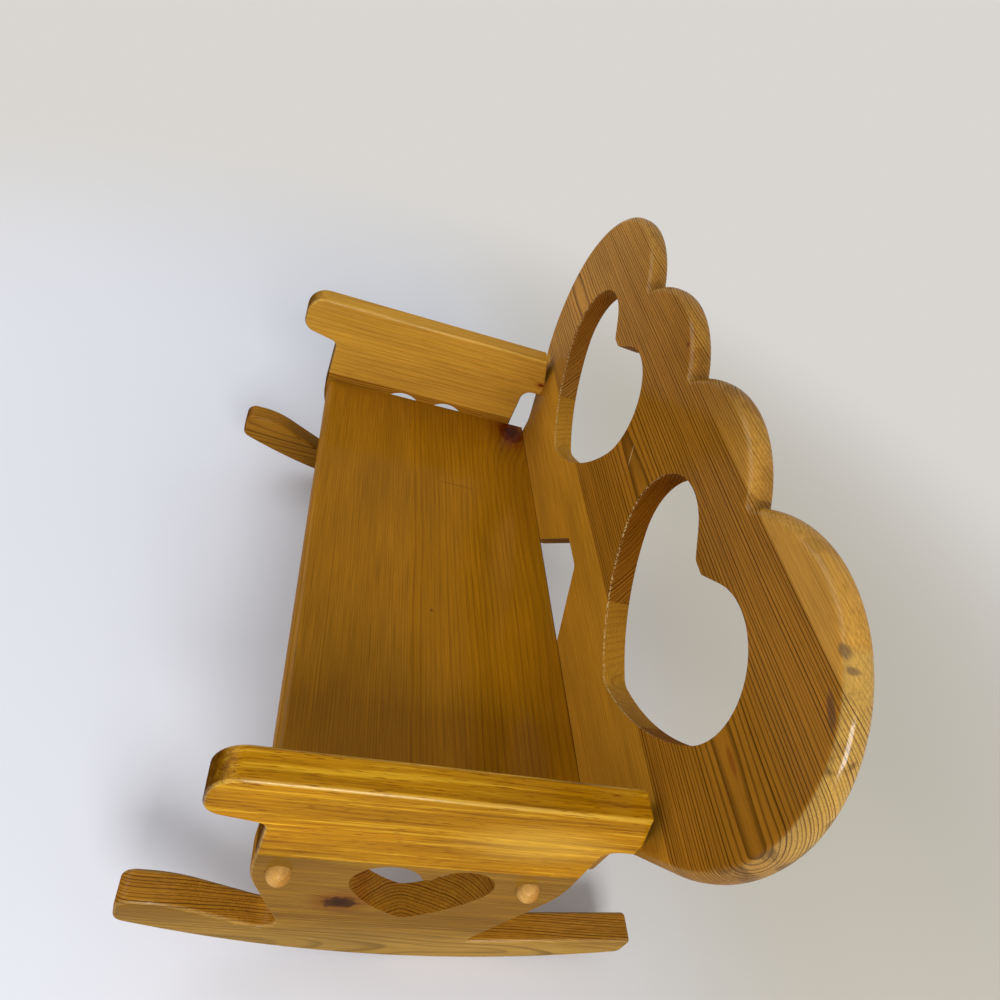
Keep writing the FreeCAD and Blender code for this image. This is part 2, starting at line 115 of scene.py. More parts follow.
def varnished_wood(
    name,
    grain,
    through,
    heart,
    ring_mm,
    early,
    late,
    sawn,
    lines=1.0,
    face_lines=1.0,
    slope=(0.0, 0.0),
    wander_mm=5.0,
    flecks=0.2,
    streaks=0.0,
    painted_light=None,
    sapwood=None,
    rim=None,
    edges=None,
    edge_highlight=None,
    knots=(),
    marks=(),
    shade_lines=(),
    chatter=None,
    chips=0.0,
    gloss=0.36,
    polish=0.55,
):
    """Sawn wood, sanded and varnished: amber, with a thin dark line where each year's growth ended.
    The rings lie round the heart of the log, so they run straight on a long face, spread out where the
    face touches them and turn to close arcs on a sawn end, which drank more varnish and went darker.
    Places are in mm from the seat's rear edge: X along the grain, Y through the plank, Z across it.
    heart is the log's middle. painted_light is an axis, a start, an end and a colour: painted light that
    turns the face toward that colour along the stretch. sapwood is a border, a colour and the stretch
    where it leaves. rim is a colour, a stain, and the half length and height beyond which hands rub it.
    polish is the gloss that rubbing adds."""
    side = grain.cross(through)
    axes = Matrix((grain, through, side)).transposed()
    material = bpy.data.materials.new(name)
    material.use_nodes = True
    tree = material.node_tree
    tree.nodes.clear()
    blend = "ShaderNodeMix"
    place = add(tree, "ShaderNodeTexCoord").node
    mm = add(
        tree,
        "ShaderNodeMapping",
        {
            "Vector": place.outputs["Object"],
            "Location": seat_edge,
            "Rotation": axes.to_euler(),
            "Scale": (0.001, 0.001, 0.001),
        },
        vector_type="TEXTURE",
    )
    plank = add(tree, "ShaderNodeSeparateXYZ", {0: mm}).node
    length, depth, level = plank.outputs
    facing = []
    for axis in (grain, through):
        turned = {0: place.outputs["Normal"], 1: axis}
        turned = add(tree, "ShaderNodeVectorMath", turned, operation="DOT_PRODUCT").node.outputs["Value"]
        facing.append(add(tree, "ShaderNodeMath", {0: turned}, operation="ABSOLUTE"))
    end_on, face_on = facing

    # Rings, which wander a little along the log and swell round its knots
    slow = add(tree, "ShaderNodeVectorMath", {0: mm, 1: WANDER}, operation="DIVIDE")
    drift = add(tree, "ShaderNodeTexNoise", {"Vector": slow, "Scale": 1.0, "Detail": 2.0}).node
    drift = drift.outputs["Color"]
    drift = add(tree, "ShaderNodeVectorMath", {0: drift, 1: (0.5, 0.5, 0.5)}, operation="SUBTRACT")
    wander = (0, wander_mm * 2, wander_mm * 2)
    bent = add(tree, "ShaderNodeVectorMath", {0: drift, 1: wander, 2: mm}, operation="MULTIPLY_ADD")
    run = (0, -slope[0], -slope[1])
    bent = add(tree, "ShaderNodeVectorMath", {0: length, 1: run, 2: bent}, operation="MULTIPLY_ADD")
    bent = add(tree, "ShaderNodeVectorMath", {0: bent, 1: (0, *heart)}, operation="SUBTRACT")
    across = add(tree, "ShaderNodeVectorMath", {0: bent, 1: (0, 1, 1)}, operation="MULTIPLY")
    radius = add(tree, "ShaderNodeVectorMath", {0: across}, operation="LENGTH").node.outputs["Value"]
    knot_masks = []
    for spot, size, swell, colour in knots:
        near = oval(tree, mm, spot, size)
        ragged = add(tree, "ShaderNodeTexNoise", {"Vector": mm, "Scale": 0.16, "Detail": 3.0})
        ragged = add(tree, "ShaderNodeMath", {0: ragged, 1: 1.1, 2: -0.55}, operation="MULTIPLY_ADD")
        rough = add(tree, "ShaderNodeMath", {0: near, 1: ragged}, operation="ADD")
        knot_masks.append((rough, near, colour))
        square = add(tree, "ShaderNodeMath", {0: near, 1: near}, operation="MULTIPLY")
        square = add(tree, "ShaderNodeMath", {0: square, 1: -0.16}, operation="MULTIPLY")
        bulge = add(tree, "ShaderNodeMath", {0: square}, operation="EXPONENT")
        radius = add(tree, "ShaderNodeMath", {0: bulge, 1: swell, 2: radius}, operation="MULTIPLY_ADD")
    years = add(tree, "ShaderNodeMath", {0: radius, 1: ring_mm}, operation="DIVIDE")
    pace = add(tree, "ShaderNodeMath", {0: years, 1: PACE}, operation="MULTIPLY")
    uneven = {"W": pace, "Scale": 1.0, "Detail": 2.0}
    uneven = add(tree, "ShaderNodeTexNoise", uneven, noise_dimensions="1D")
    years = add(tree, "ShaderNodeMath", {0: uneven, 1: UNEVEN, 2: years}, operation="MULTIPLY_ADD")
    season = add(tree, "ShaderNodeMath", {0: years}, operation="FRACT")
    year = add(tree, "ShaderNodeMath", {0: years}, operation="FLOOR")
    luck = add(tree, "ShaderNodeTexWhiteNoise", {"W": year}, noise_dimensions="1D")
    rise = {"Value": season, "From Min": SUMMER[0], "From Max": SUMMER[1]}
    rise = add(tree, "ShaderNodeMapRange", rise, interpolation_type="SMOOTHSTEP")
    fall = add(tree, "ShaderNodeMapRange", {"Value": season, "From Min": 1.0, "From Max": WINTER})
    line = add(tree, "ShaderNodeMath", {0: rise, 1: fall}, operation="MULTIPLY")
    strength = add(tree, "ShaderNodeMapRange", {"Value": luck, "To Min": 0.5 * lines, "To Max": lines})
    line = add(tree, "ShaderNodeMath", {0: line, 1: strength}, operation="MULTIPLY")
    sanded = {"Value": face_on, "From Min": 0.5, "From Max": 0.9, "To Min": 1.0, "To Max": face_lines}
    sanded = add(tree, "ShaderNodeMapRange", sanded)
    line = add(tree, "ShaderNodeMath", {0: line, 1: sanded}, operation="MULTIPLY")

    # Painted light that pales the face toward one side, sawn edges, and pale sapwood that leaves toward
    # one end
    wood = linear(early)
    # Painted light: the face turns toward a paler colour along one stretch
    if painted_light:
        axis, start, end, pale = painted_light
        light_fade = {"Value": plank.outputs[axis], "From Min": start, "From Max": end}
        light_fade = add(tree, "ShaderNodeMapRange", light_fade)
        wood = add(tree, blend, {0: light_fade, 6: wood, 7: linear(pale)}, data_type="RGBA")
    if edges:
        turned = add(tree, "ShaderNodeMapRange", {"Value": face_on, "From Min": 0.9, "From Max": 0.5})
        wood = add(tree, blend, {0: turned, 6: wood, 7: linear(edges)}, data_type="RGBA")
    if sapwood:
        border, pale, leaving = sapwood
        climb = {"Value": length, "From Min": leaving[0], "From Max": leaving[1]}
        climb = add(tree, "ShaderNodeMapRange", {**climb, "To Min": border, "To Max": border + SAP_CLIMB})
        sap = add(tree, "ShaderNodeMath", {0: level, 1: climb}, operation="SUBTRACT")
        fade = {"Value": length, "From Min": leaving[0], "From Max": leaving[0] + SAP_FADE, "To Min": 0.1}
        fade = add(tree, "ShaderNodeMapRange", fade)
        sap = {"Value": sap, "From Min": -0.5, "From Max": 0.5, "To Max": fade}
        sap = add(tree, "ShaderNodeMapRange", sap)
        faint = add(tree, "ShaderNodeMapRange", {"Value": sap, "To Min": 1.0, "To Max": 0.25})
        line = add(tree, "ShaderNodeMath", {0: line, 1: faint}, operation="MULTIPLY")
        wood = add(tree, blend, {0: sap, 6: wood, 7: linear(pale)}, data_type="RGBA")

    # Rounded outer rim, rubbed pale by hands, with dark stains left in blotches
    if rim:
        pale, stain, inside = rim
        half = add(tree, "ShaderNodeMath", {0: length}, operation="ABSOLUTE")
        outer = {"Value": half, "From Min": inside[0], "From Max": inside[0] + RIM_WIDTH}
        outer = add(tree, "ShaderNodeMapRange", outer)
        upper = {"Value": level, "From Min": inside[1], "From Max": inside[1] + RIM_WIDTH, "To Max": 0.3}
        upper = add(tree, "ShaderNodeMapRange", upper)
        outer = add(tree, "ShaderNodeMath", {0: outer, 1: upper}, operation="MAXIMUM")
        low, high = RIM_HEIGHTS
        height = {"Value": level, "From Min": low, "From Max": high, "To Min": 0.45}
        height = add(tree, "ShaderNodeMapRange", height)
        outer = add(tree, "ShaderNodeMath", {0: outer, 1: height}, operation="MULTIPLY")
        worn = {"Value": face_on, "From Min": 0.985, "From Max": 0.9, "To Max": 0.95}
        worn = add(tree, "ShaderNodeMapRange", worn, interpolation_type="SMOOTHSTEP")
        worn = add(tree, "ShaderNodeMath", {0: worn, 1: outer}, operation="MULTIPLY")
        blotch = add(tree, "ShaderNodeTexNoise", {"Vector": mm, "Scale": 0.043, "Detail": 4.0})
        blotch = {"Value": blotch, "From Min": 0.525, "From Max": 0.62, "To Max": 0.65}
        blotch = add(tree, "ShaderNodeMapRange", blotch, interpolation_type="SMOOTHSTEP")
        pale = add(tree, blend, {0: blotch, 6: linear(pale), 7: linear(stain)}, data_type="RGBA")
        wood = add(tree, blend, {0: worn, 6: wood, 7: pale}, data_type="RGBA")

    # Painted highlight: the eased long edges painted paler, as where light catches them
    if edge_highlight:
        edge = {"Value": face_on, "From Min": 0.97, "From Max": 0.8, "To Max": 0.7}
        edge = add(tree, "ShaderNodeMapRange", edge, interpolation_type="SMOOTHSTEP")
        top = {"Value": face_on, "From Min": 0.1, "From Max": 0.5}
        top = add(tree, "ShaderNodeMapRange", top, interpolation_type="SMOOTHSTEP")
        edge = add(tree, "ShaderNodeMath", {0: edge, 1: top}, operation="MULTIPLY")
        wood = add(tree, blend, {0: edge, 6: wood, 7: linear(edge_highlight)}, data_type="RGBA")

    # Fibres, short resin flecks, broad clouds, and streaks of pale and dark wood
    fine = add(tree, "ShaderNodeVectorMath", {0: mm, 1: FIBRE}, operation="DIVIDE")
    fibre = {"Vector": fine, "Scale": 1.0, "Detail": 3.0, "Roughness": 0.65}
    fibre = add(tree, "ShaderNodeTexNoise", fibre)
    short = add(tree, "ShaderNodeVectorMath", {0: mm, 1: FLECK}, operation="DIVIDE")
    fleck = add(tree, "ShaderNodeTexNoise", {"Vector": short, "Scale": 1.0, "Detail": 1.0})
    fleck = {"Value": fleck, "From Min": 0.58, "From Max": 0.74, "To Max": flecks}
    fleck = add(tree, "ShaderNodeMapRange", fleck, interpolation_type="SMOOTHSTEP")
    cloud = add(tree, "ShaderNodeVectorMath", {0: mm, 1: CLOUD}, operation="DIVIDE")
    cloud = add(tree, "ShaderNodeTexNoise", {"Vector": cloud, "Scale": 1.0, "Detail": 3.0})
    if streaks:
        band = add(tree, "ShaderNodeVectorMath", {0: mm, 1: STREAK}, operation="DIVIDE")
        band = {"Vector": band, "Scale": 1.0, "Detail": 4.0, "Roughness": 0.6}
        band = add(tree, "ShaderNodeTexNoise", band)
        for start, end, colour in ((0.48, 0.36, PALE_STREAK), (0.53, 0.68, late)):
            streak = {"Value": band, "From Min": start, "From Max": end, "To Max": streaks}
            streak = add(tree, "ShaderNodeMapRange", streak, interpolation_type="SMOOTHSTEP")
            wood = add(tree, blend, {0: streak, 6: wood, 7: linear(colour)}, data_type="RGBA")
    for mask in (line, fleck):
        wood = add(tree, blend, {0: mask, 6: wood, 7: linear(late)}, data_type="RGBA")
    for pattern, swing in ((fibre, 0.24), (cloud, 0.16)):
        shade = {"Value": pattern, "From Min": 0.3, "From Max": 0.7}
        shade = add(tree, "ShaderNodeMapRange", {**shade, "To Min": 1 - swing, "To Max": 1 + 0.8 * swing})
        shaded = {0: 1.0, 6: wood, 7: shade}
        wood = add(tree, blend, shaded, data_type="RGBA", blend_type="MULTIPLY")

    # Sawn ends, and the knots with their rust-coloured rims
    darkest = 0.85
    ends = {"Value": end_on, "From Min": 0.25, "From Max": 0.95, "To Max": darkest}
    ends = add(tree, "ShaderNodeMapRange", ends, interpolation_type="SMOOTHSTEP")
    if rim:
        rest = add(tree, "ShaderNodeMath", {0: 1.0, 1: worn}, operation="SUBTRACT")
        ends = add(tree, "ShaderNodeMath", {0: ends, 1: rest}, operation="MULTIPLY")
    dark = add(tree, blend, {0: 1.0, 6: wood, 7: linear(sawn)}, data_type="RGBA", blend_type="MULTIPLY")
    wood = add(tree, blend, {0: ends, 6: wood, 7: dark}, data_type="RGBA")
    for rough, near, colour in knot_masks:
        halo = {"Value": near, "From Min": 2.4, "From Max": 0.9, "To Max": 0.55}
        halo = add(tree, "ShaderNodeMapRange", halo, interpolation_type="SMOOTHSTEP")
        rust = {0: 1.0, 6: wood, 7: linear(KNOT_RUST)}
        rust = add(tree, blend, rust, data_type="RGBA", blend_type="MULTIPLY")
        wood = add(tree, blend, {0: halo, 6: wood, 7: rust}, data_type="RGBA")
        for reach, share, tone in ((1.2, 0.85, colour), (0.7, 0.5, KNOT_EYE)):
            core = {"Value": rough, "From Min": reach, "From Max": reach - 0.45, "To Max": share}
            core = add(tree, "ShaderNodeMapRange", core, interpolation_type="SMOOTHSTEP")
            wood = add(tree, blend, {0: core, 6: wood, 7: linear(tone)}, data_type="RGBA")

    # Scratches, dents and resin: each an oval on the seat's or back's front face, turned by its angle
    if marks:
        skin = add(tree, "ShaderNodeMath", {0: depth}, operation="ABSOLUTE")
        skin = {"Value": skin, "From Min": SKIN[0], "From Max": SKIN[1], "To Max": 0.6}
        skin = add(tree, "ShaderNodeMapRange", skin)
    for spot, size, angle, colour in marks:
        mark = oval(tree, mm, spot, size, angle)
        mark = {"Value": mark, "From Min": 1.2, "From Max": 0.5, "To Max": skin}
        mark = add(tree, "ShaderNodeMapRange", mark, interpolation_type="SMOOTHSTEP")
        wood = add(tree, blend, {0: mark, 6: wood, 7: linear(colour)}, data_type="RGBA")

    # Painted shade: a thin dark line where another part meets the plank, along the plank
    for seam in shade_lines:
        gap = add(tree, "ShaderNodeMath", {0: level, 1: seam}, operation="SUBTRACT")
        gap = add(tree, "ShaderNodeMath", {0: gap}, operation="ABSOLUTE")
        gap = {"Value": gap, "From Min": 1.0, "From Max": 0.3, "To Max": 0.8}
        gap = add(tree, "ShaderNodeMapRange", gap)
        wood = add(tree, blend, {0: gap, 6: wood, 7: linear(SEAM_SHADE)}, data_type="RGBA")

    # Ticks of a dull saw across the grain, in an oval patch
    if chatter:
        patch = oval(tree, mm, *chatter)
        patch = add(tree, "ShaderNodeMapRange", {"Value": patch, "From Min": 1.1, "From Max": 0.4})
        turn = {"Vector": mm, "Angle": SAW_ANGLE}
        ticks = add(tree, "ShaderNodeVectorRotate", turn, rotation_type="Y_AXIS")
        ticks = {"Vector": ticks, "Scale": 0.19, "Distortion": 1.2, "Detail Scale": 0.4}
        ticks = add(tree, "ShaderNodeTexWave", ticks)
        ticks = add(tree, "ShaderNodeMath", {0: ticks, 1: fibre}, operation="MULTIPLY")
        ticks = {"Value": ticks, "From Min": 0.15, "From Max": 0.45, "To Max": 0.85}
        ticks = add(tree, "ShaderNodeMapRange", ticks)
        ticks = add(tree, "ShaderNodeMath", {0: ticks, 1: patch}, operation="MULTIPLY")
        wood = add(tree, blend, {0: ticks, 6: wood, 7: linear(SAW_TICK)}, data_type="RGBA")

    # Varnish chipped off in specks where a sawn wall meets the front face
    if chips:
        wall = add(tree, "ShaderNodeMapRange", {"Value": face_on, "From Min": 0.5, "From Max": 0.2})
        brink = {"Value": depth, "From Min": 2.2, "From Max": 0.9}
        brink = add(tree, "ShaderNodeMapRange", brink)
        speck = add(tree, "ShaderNodeTexNoise", {"Vector": mm, "Scale": 0.8, "Detail": 2.0})
        speck = {"Value": speck, "From Min": 0.51, "From Max": 0.57, "To Max": chips}
        speck = add(tree, "ShaderNodeMapRange", speck)
        chip = add(tree, "ShaderNodeMath", {0: wall, 1: brink}, operation="MULTIPLY")
        chip = add(tree, "ShaderNodeMath", {0: chip, 1: speck}, operation="MULTIPLY")
        wood = add(tree, blend, {0: chip, 6: wood, 7: linear(BARE_WOOD)}, data_type="RGBA")

    # Varnish: a thin coat, dull on the ends and polished where hands rub
    sheen = {"Value": cloud, "To Min": gloss - 0.08, "To Max": gloss + 0.1}
    sheen = add(tree, "ShaderNodeMapRange", sheen)
    relief = add(tree, "ShaderNodeMath", {0: line, 1: -0.6, 2: fibre}, operation="MULTIPLY_ADD")
    bump = add(tree, "ShaderNodeBump", {"Height": relief, "Strength": 0.3, "Distance": 0.0004})
    coat = {"Value": ends, "From Max": darkest, "To Min": VARNISH, "To Max": VARNISH_ON_ENDS}
    coat = add(tree, "ShaderNodeMapRange", coat)
    if rim or edge_highlight:
        rubbed = {0: worn if rim else edge, 1: polish, 2: coat}
        coat = add(tree, "ShaderNodeMath", rubbed, operation="MULTIPLY_ADD")
    surface = add(
        tree,
        "ShaderNodeBsdfPrincipled",
        {
            "Base Color": wood,
            "Roughness": sheen,
            "Normal": bump,
            "IOR": 1.5,
            "Specular IOR Level": 0.0,
            "Coat Weight": coat,
            "Coat Roughness": 0.16,
        },
    )
    add(tree, "ShaderNodeOutputMaterial", {"Surface": surface})
    return material


def dress(node, material):
    """Give a plank its material in every slot."""
    slots = frame["nodes"][node].data.materials
    slots.clear()
    slots.append(material)


dress(
    "rocker_plank_right",
    varnished_wood(
        "varnished_pine_rocker_right",
        rearward,
        along,
        heart=(330, 125),
        ring_mm=1.8,
        early="#845d1e",
        late="#3a2008",
        sawn="#ffffff",
        lines=0.95,
        face_lines=0.5,
        edges="#a66f20",
        # Painted highlight along the eased edges, with the pale floor's painted reflection on the
        # runner's lower edge
        edge_highlight="#ae8648",
        polish=0.12,
        slope=(0.03, 0.0),
        wander_mm=7.0,
        flecks=0.2,
        streaks=0.12,
        # Painted reflection: the lower runner painted paler and greyer, as the pale floor shines on it
        painted_light=("Z", 78, 116, "#a07b38"),
        knots=(((-160, 51), (11, 8.5), 5.0, "#341808"),),
    ),
)
dress(
    "rocker_plank_left",
    varnished_wood(
        "varnished_pine_rocker_left",
        rearward,
        along,
        heart=(-200, 70),
        ring_mm=2.8,
        early="#9f6b1c",
        late="#482605",
        sawn="#8a6a48",
        lines=0.85,
        slope=(-0.03, 0.0),
        wander_mm=7.0,
    ),
)
dress(
    "arm_plank_right",
    varnished_wood(
        "varnished_pine_arm_right",
        rearward,
        along,
        heart=(225, 190),
        ring_mm=5.4,
        early="#aa740a",
        late="#6e3c04",
        sawn="#6a5238",
        lines=0.35,
        flecks=0.8,
        streaks=0.65,
        # Painted highlight along the eased edges
        edge_highlight="#dcae48",
        chatter=((-62, -48), (55, 26)),
    ),
)
dress(
    "arm_plank_left",
    varnished_wood(
        "varnished_pine_arm_left",
        rearward,
        along,
        heart=(-215, 170),
        ring_mm=4.8,
        early="#c49034",
        late="#8e5a10",
        sawn="#6a5238",
        lines=0.4,
        flecks=0.25,
        streaks=0.2,
        # Painted highlight along the eased edges
        edge_highlight="#dcae48",
        knots=(((-1, -59), (4, 2), 3.0, "#7a2f14"),),
    ),
)

# Seat: two pine planks glued edge to edge between the end panels, with the grain along the bench.
# The front edges are rounded over, and the top is worn dull by use.
dress(
    "seat_plank_front",
    varnished_wood(
        "varnished_pine_seat_front",
        along,
        up,
        heart=(-60, 420),
        ring_mm=2.0,
        early="#9a6712",
        late="#6a3f05",
        sawn="#806040",
        lines=0.4,
        flecks=0.16,
        wander_mm=3.0,
        gloss=0.42,
        marks=(((38, 127), (2.2, 1.6), 0, "#4a2c0e"),),
    ),
)
dress(
    "seat_plank_rear",
    varnished_wood(
        "varnished_pine_seat_rear",
        along,
        up,
        heart=(-70, -50),
        ring_mm=4.4,
        early="#9c680d",
        late="#6c3d04",
        sawn="#806040",
        lines=0.45,
        flecks=0.14,
        gloss=0.42,
        knots=(((-226, 15), (20, 14), 14.0, "#5c1e02"),),
        marks=(
            ((-114, 84), (0.7, 21), 3, "#5a3510"),
            ((52, 111), (2.0, 1.4), 0, "#4a2c0e"),
        ),
        # Painted shade along the seat's rear edge, where the back meets it
        shade_lines=(0.0,),
    ),
)

# Back: two pine planks glued edge to edge, sawn to four scallops with a heart below each pair.
# The outer edges are rounded over, so the year lines turn to arcs there, and a pale strip of
# sapwood is left along the crowns of the scallops.
BACK_LEAN = math.radians(3.0)
lean = Matrix.Rotation(-BACK_LEAN, 3, along)
back_up = lean @ up
back_rear = lean @ rearward
dress(
    "back_plank_lower",
    varnished_wood(
        "varnished_pine_back_lower",
        along,
        back_rear,
        heart=(60, -260),
        ring_mm=2.4,
        early="#b57e22",
        late="#8a5812",
        sawn="#806040",
        lines=0.45,
        flecks=0.14,
        wander_mm=3.0,
        # Painted light: the face painted paler toward the far end
        painted_light=("X", -40, -240, "#c28a2a"),
        rim=("#aa7c34", "#5a3c14", (225, 400)),
        chips=0.75,
    ),
)
dress(
    "back_plank_upper",
    varnished_wood(
        "varnished_pine_back_upper",
        along,
        back_rear,
        heart=(-42, 156),
        ring_mm=1.9,
        early="#9c661a",
        late="#381d04",
        sawn="#c0a47c",
        lines=1.0,
        flecks=0.2,
        wander_mm=3.0,
        # Painted light: the face painted paler toward the far end
        painted_light=("X", -40, -260, "#b47e34"),
        sapwood=(243, "#bf8936", (20, -60)),
        rim=("#b48b3e", "#3a240a", (250, 214)),
        chips=0.75,
        marks=(
            ((253.7, 252.6), (4.5, 3), 0, "#4a3a34"),
            ((263.6, 250.2), (2.6, 2), 0, "#4a3430"),
            ((274.5, 231.5), (11, 3), -25, "#4a3228"),
            ((259, 157), (10, 2.6), 0, "#7a3f12"),
            ((-29, 250.5), (2.6, 2), 0, "#5a1f10"),
            ((-8, 156), (9, 0.7), -53, "#e0c080"),
        ),
    ),
)

# Screws: zinc-plated wood screws, driven through the end panels and the back into seat and arms.
# Each has a countersunk head with a cross slot, and a thread wound down to its point. Sizes are in m.
PANEL_FACE = 0.263  # middle of the bench to an end panel's outer face
SEAT_MIDDLE = 0.0125  # below the seat's top
SIDE_ROWS = (-0.205, -0.045)  # from the seat's rear edge
BACK_BOARD = 0.019
BACK_SPOTS = ((0.160, -0.01252), (0.252, 0.05457))  # out from the middle, and up the back
SCREW_SEAT = 0.0063  # head below the plank's face
HEAD = 0.0041
HEAD_CONE = 0.002
SHANK = 0.0021
LENGTH = 0.038
POINT = 0.006
TIP = 0.0001
PITCH = 0.002
RIDGE = 0.0005
THREAD_TIP = 0.0004
TAPER_TURNS = 2.0  # of thread down the point
NECK_SHARE = 0.3  # of the shaft, left without thread
NECK_WIDTH = 0.9  # of the shank
CORE_WIDTH = 0.7  # of the shank, under the thread
SLOT_LENGTH = 1.25  # head radii
SLOT_WIDTH = 0.0009
SLOT_DEPTHS = (0.0013, 0.0011)
fastenings = []
for hand in (-1, 1):
    face = seat_edge + along * hand * PANEL_FACE
    for row in SIDE_ROWS:
        fastenings.append((face + rearward * row - up * SEAT_MIDDLE, along * hand))
    for out, level in BACK_SPOTS:
        spot = seat_edge + along * hand * out + back_rear * BACK_BOARD + back_up * level
        fastenings.append((spot, back_rear))


def part_tree(name, sizes):
    """A Geometry Nodes tree with a named input for each size, and its inputs. A material goes last."""
    tree = bpy.data.node_groups.new(name, "GeometryNodeTree")
    tree.interface.new_socket("Geometry", in_out="OUTPUT", socket_type="NodeSocketGeometry")
    tree.interface.new_socket("Points", in_out="INPUT", socket_type="NodeSocketGeometry")
    for size in sizes:
        tree.interface.new_socket(size, in_out="INPUT", socket_type="NodeSocketFloat")
    tree.interface.new_socket("Material", in_out="INPUT", socket_type="NodeSocketMaterial")
    return tree, add(tree, "NodeGroupInput").node.outputs


def fasten(name, tree, sizes, one, material):
    """One mesh with the tree's part at every fastening, its Z pointing out of the wood."""
    inputs = tree.nodes["Group Input"].outputs
    way = add(tree, "GeometryNodeInputNamedAttribute", {"Name": "way"}, data_type="FLOAT_VECTOR")
    turn = add(tree, "FunctionNodeAlignRotationToVector", {"Vector": way}, axis="Z")
    placed = {"Points": inputs["Points"], "Instance": one, "Rotation": turn}
    many = add(tree, "GeometryNodeInstanceOnPoints", placed)
    many = add(tree, "GeometryNodeRealizeInstances", {"Geometry": many})
    many = add(tree, "GeometryNodeSetMaterial", {"Geometry": many, "Material": inputs["Material"]})
    add(tree, "NodeGroupOutput", {"Geometry": many})
    points = bpy.data.meshes.new(name)
    points.from_pydata([spot for spot, way in fastenings], [], [])
    ways = points.attributes.new("way", "FLOAT_VECTOR", "POINT")
    for item, (spot, way) in zip(ways.data, fastenings):
        item.vector = way
    piece = bpy.data.objects.new(name, points)
    bpy.context.scene.collection.objects.link(piece)
    modifier = piece.modifiers.new(name, "NODES")
    modifier.node_group = tree
    values = {**sizes, "Material": material}
    for item in tree.interface.items_tree:
        if item.name in values:
            modifier[item.identifier] = values[item.name]
    evaluated = piece.evaluated_get(bpy.context.evaluated_depsgraph_get())
    mesh = bpy.data.meshes.new_from_object(evaluated)
    piece.modifiers.clear()
    piece.data = mesh
    mesh.shade_smooth()
    mesh.set_sharp_from_angle(angle=math.radians(40))
    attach(piece, "root")
    return piece


# Zinc plating: a cool grey metal with faint cloudy spangle and a satin shine
ZINC_DULL = "#a8a89f"
ZINC_BRIGHT = "#cfd2d6"
steel = bpy.data.materials.new("zinc_plated_steel")
steel.use_nodes = True
tree = steel.node_tree
tree.nodes.clear()
spot = add(tree, "ShaderNodeTexCoord").node.outputs["Object"]
cloud = add(tree, "ShaderNodeTexNoise", {"Vector": spot, "Scale": 900.0, "Detail": 3.0})
tone = {0: cloud, 6: linear(ZINC_DULL), 7: linear(ZINC_BRIGHT)}
tone = add(tree, "ShaderNodeMix", tone, data_type="RGBA")
rough = add(tree, "ShaderNodeMapRange", {"Value": cloud, "To Min": 0.24, "To Max": 0.46})
metal = {"Base Color": tone, "Roughness": rough, "Metallic": 1.0}
surface = add(tree, "ShaderNodeBsdfPrincipled", metal)
add(tree, "ShaderNodeOutputMaterial", {"Surface": surface})

# One screw, from its point up to the head
sizes = {
    "Head Radius": HEAD,
    "Head Cone": HEAD_CONE,
    "Shank Radius": SHANK,
    "Length": LENGTH,
    "Point": POINT,
    "Pitch": PITCH,
    "Seat": SCREW_SEAT,
}
tree, size = part_tree("wood_screw", sizes)
tip = add(tree, "ShaderNodeMath", {0: size["Seat"], 1: size["Length"]}, operation="ADD")
tip = add(tree, "ShaderNodeMath", {0: tip, 1: -1.0}, operation="MULTIPLY")
start = add(tree, "ShaderNodeMath", {0: tip, 1: size["Point"]}, operation="ADD")
under = add(tree, "ShaderNodeMath", {0: size["Seat"], 1: size["Head Cone"]}, operation="ADD")
under = add(tree, "ShaderNodeMath", {0: under, 1: -1.0}, operation="MULTIPLY")
run = add(tree, "ShaderNodeMath", {0: under, 1: start}, operation="SUBTRACT")
neck = add(tree, "ShaderNodeMath", {0: run, 1: NECK_SHARE}, operation="MULTIPLY")
wound = add(tree, "ShaderNodeMath", {0: run, 1: neck}, operation="SUBTRACT")
neck_foot = add(tree, "ShaderNodeMath", {0: start, 1: wound}, operation="ADD")
core = add(tree, "ShaderNodeMath", {0: size["Shank Radius"], 1: CORE_WIDTH}, operation="MULTIPLY")
stem = add(tree, "ShaderNodeMath", {0: size["Shank Radius"], 1: NECK_WIDTH}, operation="MULTIPLY")
pieces = []
for upper, lower, depth, foot in (
    (size["Head Radius"], stem, size["Head Cone"], under),
    (stem, stem, neck, neck_foot),
    (core, core, wound, start),
    (core, TIP, size["Point"], tip),
):
    turned = {"Vertices": 32, "Radius Top": upper, "Radius Bottom": lower, "Depth": depth}
    turned = add(tree, "GeometryNodeMeshCone", turned)
    level = add(tree, "ShaderNodeCombineXYZ", {"Z": foot})
    pieces.append(add(tree, "GeometryNodeTransform", {"Geometry": turned, "Translation": level}))
slots = []
slot = add(tree, "ShaderNodeMath", {0: size["Head Radius"], 1: SLOT_LENGTH}, operation="MULTIPLY")
face = add(tree, "ShaderNodeMath", {0: size["Seat"], 1: -1.0}, operation="MULTIPLY")
level = add(tree, "ShaderNodeCombineXYZ", {"Z": face})
for turn, depth in zip((0.0, math.pi / 2), SLOT_DEPTHS):
    blade = add(tree, "ShaderNodeCombineXYZ", {"X": slot, "Y": SLOT_WIDTH, "Z": 2 * depth})
    blade = add(tree, "GeometryNodeMeshCube", {"Size": blade})
    turned = {"Geometry": blade, "Translation": level, "Rotation": (0.0, 0.0, turn)}
    slots.append(add(tree, "GeometryNodeTransform", turned))
cut = {"Mesh 1": pieces[0], "Mesh 2": slots}
pieces[0] = add(tree, "GeometryNodeMeshBoolean", cut, operation="DIFFERENCE")
ridge = add(tree, "GeometryNodeCurvePrimitiveCircle", {"Resolution": 3, "Radius": RIDGE})
reach = add(tree, "ShaderNodeMath", {0: size["Shank Radius"], 1: RIDGE}, operation="SUBTRACT")
